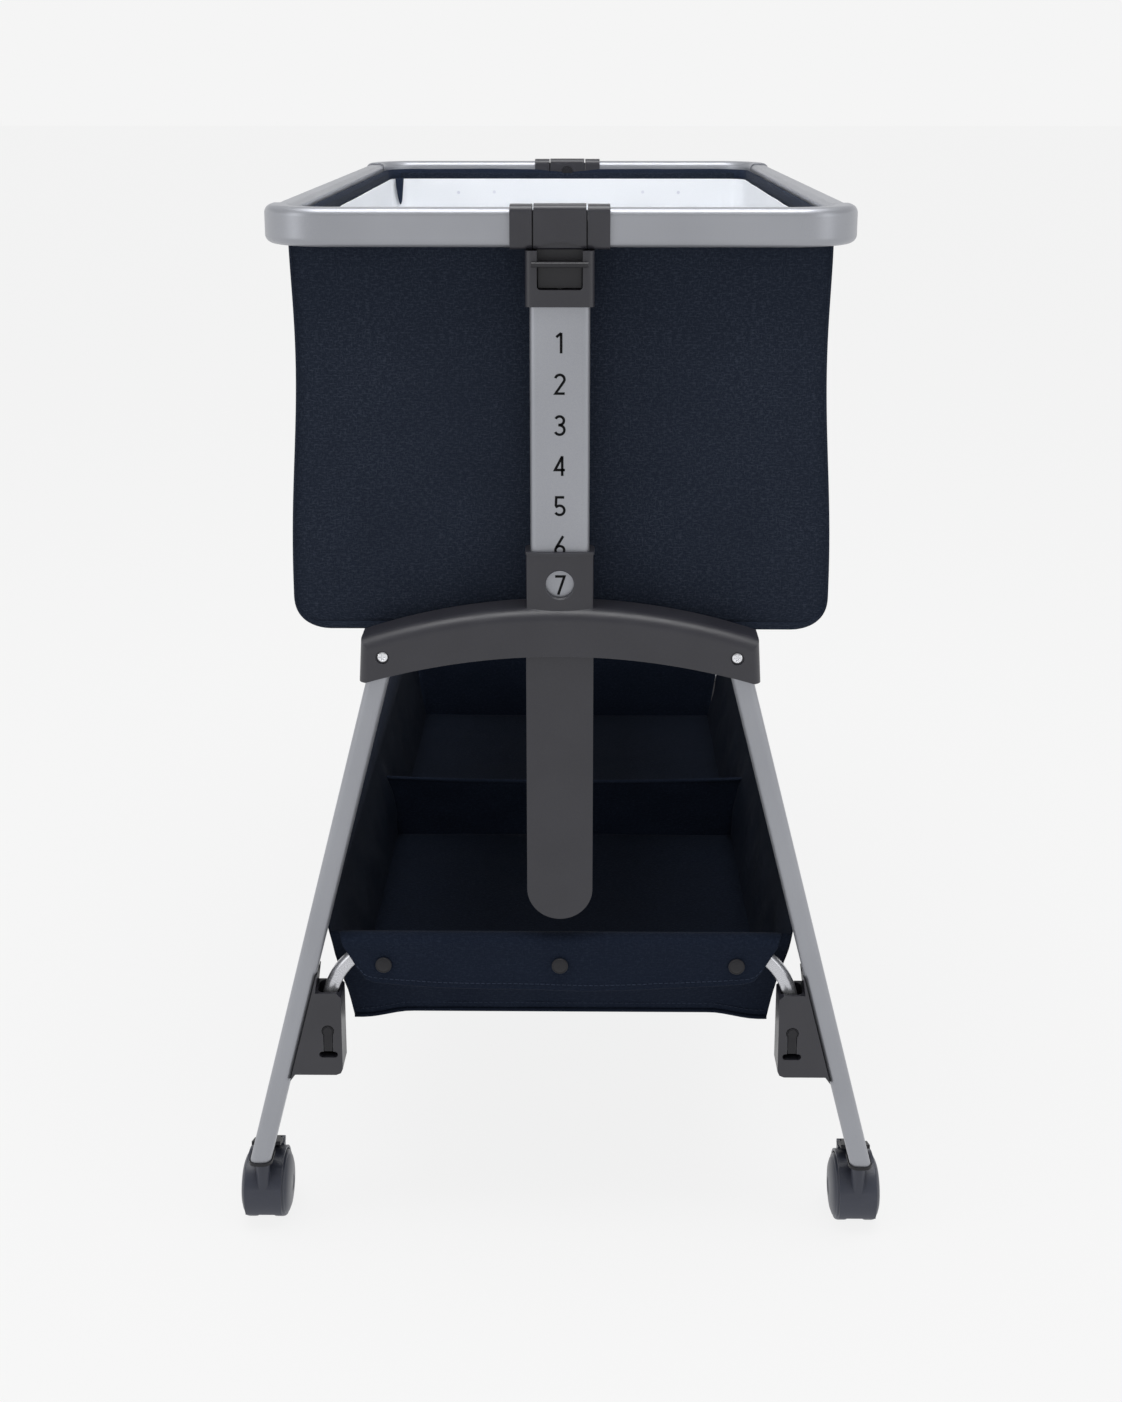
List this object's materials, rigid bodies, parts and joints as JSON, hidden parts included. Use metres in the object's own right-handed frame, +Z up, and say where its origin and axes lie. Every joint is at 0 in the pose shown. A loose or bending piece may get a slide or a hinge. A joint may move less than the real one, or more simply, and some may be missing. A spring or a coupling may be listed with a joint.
{
  "type": "bassinet on stand",
  "caption": "Bedside crib: a fabric body hung in a folding rim, on numbered sliding posts in an A-frame stand with castors and a storage basket.",
  "frame": {"origin": "centre of the footprint on the floor", "axes": "X across the width, Y along the length with the near end at -Y, Z up"},
  "size_m": [0.6, 0.8982, 0.9478],
  "materials": {
    "satin_aluminium": "satin silver-grey paint on aluminium tube",
    "round_tube": "satin anodised round tube",
    "moulded_plastic": "fine-textured dark grey moulding",
    "dark_plastic": "near-black moulding",
    "wheel_plastic": "hard grey wheel plastic",
    "bolt_chrome": "bright domed heads",
    "navy_fabric": "heathered navy woven fabric",
    "basket_fabric": "navy woven fabric",
    "board": "hardboard",
    "white_fabric": "white cotton with small pale dots"
  },
  "bodies": {
    "stand": {"arch_near": "moulded_plastic", "arch_far": "moulded_plastic", "post_housing_near": "moulded_plastic", "post_housing_far": "moulded_plastic", "leg_near_left": "satin_aluminium", "leg_near_right": "satin_aluminium", "leg_far_left": "satin_aluminium", "leg_far_right": "satin_aluminium", "arch_bolts": "bolt_chrome", "foot_plugs": "dark_plastic", "tube_bracket_near_left": "moulded_plastic", "tube_bracket_near_right": "moulded_plastic", "tube_bracket_far_left": "moulded_plastic", "tube_bracket_far_right": "moulded_plastic", "cross_tube_near": "round_tube", "cross_tube_far": "round_tube", "side_tube_left": "round_tube", "side_tube_right": "round_tube", "basket": "basket_fabric", "basket_divider": "basket_fabric", "basket_flaps": "basket_fabric", "basket_snaps": "dark_plastic"},
    "crib": {"post_near": "satin_aluminium", "post_far": "satin_aluminium", "latch_body_near": "moulded_plastic", "latch_body_far": "moulded_plastic", "hub_near": "moulded_plastic", "hub_far": "moulded_plastic", "bag_walls": "navy_fabric", "bag_bottom": "navy_fabric", "base_board": "board", "mattress": "white_fabric"},
    "rim_left": {"rim_side_left": "satin_aluminium", "rim_end_near_left": "satin_aluminium", "rim_end_far_left": "satin_aluminium", "rim_sockets_left": "moulded_plastic"},
    "rim_right": {"rim_side_right": "satin_aluminium", "rim_end_near_right": "satin_aluminium", "rim_end_far_right": "satin_aluminium", "rim_sockets_right": "moulded_plastic"},
    "lever_near": {"release_lever_near": "dark_plastic"},
    "button_near": {"fold_button_near": "dark_plastic"},
    "swivel_near_left": {"castor_near_left": "moulded_plastic"},
    "wheelset_near_left": {"wheels_near_left": "wheel_plastic"},
    "pedal_near_left": {"brake_near_left": "dark_plastic"},
    "tongue_near_left": {"tube_latch_near_left": "dark_plastic"},
    "swivel_near_right": {"castor_near_right": "moulded_plastic"},
    "wheelset_near_right": {"wheels_near_right": "wheel_plastic"},
    "pedal_near_right": {"brake_near_right": "dark_plastic"},
    "tongue_near_right": {"tube_latch_near_right": "dark_plastic"},
    "lever_far": {"release_lever_far": "dark_plastic"},
    "button_far": {"fold_button_far": "dark_plastic"},
    "swivel_far_left": {"castor_far_left": "moulded_plastic"},
    "wheelset_far_left": {"wheels_far_left": "wheel_plastic"},
    "pedal_far_left": {"brake_far_left": "dark_plastic"},
    "tongue_far_left": {"tube_latch_far_left": "dark_plastic"},
    "swivel_far_right": {"castor_far_right": "moulded_plastic"},
    "wheelset_far_right": {"wheels_far_right": "wheel_plastic"},
    "pedal_far_right": {"brake_far_right": "dark_plastic"},
    "tongue_far_right": {"tube_latch_far_right": "dark_plastic"}
  },
  "joints": [
    {"name": "height_slide", "type": "slide", "parent": "stand", "child": "crib", "axis": [0, 0, 1], "range_m": [-0.207, 0]},
    {"name": "rim_fold_left", "type": "hinge", "parent": "crib", "child": "rim_left", "pos_m": [-0.0335, 0, 0.916], "axis": [0, -1, 0], "range_deg": [0, 85], "deforming": ["bag_walls"]},
    {"name": "rim_fold_right", "type": "hinge", "parent": "crib", "child": "rim_right", "pos_m": [0.0335, 0, 0.916], "axis": [0, 1, 0], "range_deg": [0, 85]},
    {"name": "release_near", "type": "slide", "parent": "crib", "child": "lever_near", "axis": [0, 0, 1], "range_m": [0, 0.006], "stiffness_N_per_m": 800, "springref_m": -0.003},
    {"name": "fold_button_near_press", "type": "slide", "parent": "crib", "child": "button_near", "axis": [0, -1, 0], "range_m": [0, 0.003], "stiffness_N_per_m": 1000, "springref_m": -0.002},
    {"name": "swivel_near_left", "type": "hinge", "parent": "stand", "child": "swivel_near_left", "pos_m": [-0.2765, -0.43, 0.06], "axis": [0, 0, 1], "continuous": true},
    {"name": "roll_near_left", "type": "hinge", "parent": "swivel_near_left", "child": "wheelset_near_left", "pos_m": [-0.2765, -0.405, 0.03], "axis": [1, 0, 0], "continuous": true},
    {"name": "brake_near_left", "type": "hinge", "parent": "swivel_near_left", "child": "pedal_near_left", "pos_m": [-0.2765, -0.381, 0.0605], "axis": [1, 0, 0], "range_deg": [0, 12]},
    {"name": "tube_latch_near_left_press", "type": "slide", "parent": "stand", "child": "tongue_near_left", "axis": [0, 1, 0], "range_m": [0, 0.0025], "stiffness_N_per_m": 1200, "springref_m": -0.002},
    {"name": "swivel_near_right", "type": "hinge", "parent": "stand", "child": "swivel_near_right", "pos_m": [0.2765, -0.43, 0.06], "axis": [0, 0, 1], "continuous": true},
    {"name": "roll_near_right", "type": "hinge", "parent": "swivel_near_right", "child": "wheelset_near_right", "pos_m": [0.2765, -0.405, 0.03], "axis": [1, 0, 0], "continuous": true},
    {"name": "brake_near_right", "type": "hinge", "parent": "swivel_near_right", "child": "pedal_near_right", "pos_m": [0.2765, -0.381, 0.0605], "axis": [1, 0, 0], "range_deg": [0, 12]},
    {"name": "tube_latch_near_right_press", "type": "slide", "parent": "stand", "child": "tongue_near_right", "axis": [0, 1, 0], "range_m": [0, 0.0025], "stiffness_N_per_m": 1200, "springref_m": -0.002},
    {"name": "release_far", "type": "slide", "parent": "crib", "child": "lever_far", "axis": [0, 0, 1], "range_m": [0, 0.006], "stiffness_N_per_m": 800, "springref_m": -0.003},
    {"name": "fold_button_far_press", "type": "slide", "parent": "crib", "child": "button_far", "axis": [0, 1, 0], "range_m": [0, 0.003], "stiffness_N_per_m": 1000, "springref_m": -0.002},
    {"name": "swivel_far_left", "type": "hinge", "parent": "stand", "child": "swivel_far_left", "pos_m": [-0.2765, 0.43, 0.06], "axis": [0, 0, 1], "continuous": true},
    {"name": "roll_far_left", "type": "hinge", "parent": "swivel_far_left", "child": "wheelset_far_left", "pos_m": [-0.2765, 0.405, 0.03], "axis": [1, 0, 0], "continuous": true},
    {"name": "brake_far_left", "type": "hinge", "parent": "swivel_far_left", "child": "pedal_far_left", "pos_m": [-0.2765, 0.381, 0.0605], "axis": [-1, 0, 0], "range_deg": [0, 12]},
    {"name": "tube_latch_far_left_press", "type": "slide", "parent": "stand", "child": "tongue_far_left", "axis": [0, -1, 0], "range_m": [0, 0.0025], "stiffness_N_per_m": 1200, "springref_m": -0.002},
    {"name": "swivel_far_right", "type": "hinge", "parent": "stand", "child": "swivel_far_right", "pos_m": [0.2765, 0.43, 0.06], "axis": [0, 0, 1], "continuous": true},
    {"name": "roll_far_right", "type": "hinge", "parent": "swivel_far_right", "child": "wheelset_far_right", "pos_m": [0.2765, 0.405, 0.03], "axis": [1, 0, 0], "continuous": true},
    {"name": "brake_far_right", "type": "hinge", "parent": "swivel_far_right", "child": "pedal_far_right", "pos_m": [0.2765, 0.381, 0.0605], "axis": [-1, 0, 0], "range_deg": [0, 12]},
    {"name": "tube_latch_far_right_press", "type": "slide", "parent": "stand", "child": "tongue_far_right", "axis": [0, -1, 0], "range_m": [0, 0.0025], "stiffness_N_per_m": 1200, "springref_m": -0.002}
  ],
  "couplings": [
    {"joint": "rim_fold_right", "follows": "rim_fold_left", "ratio": 1}
  ]
}
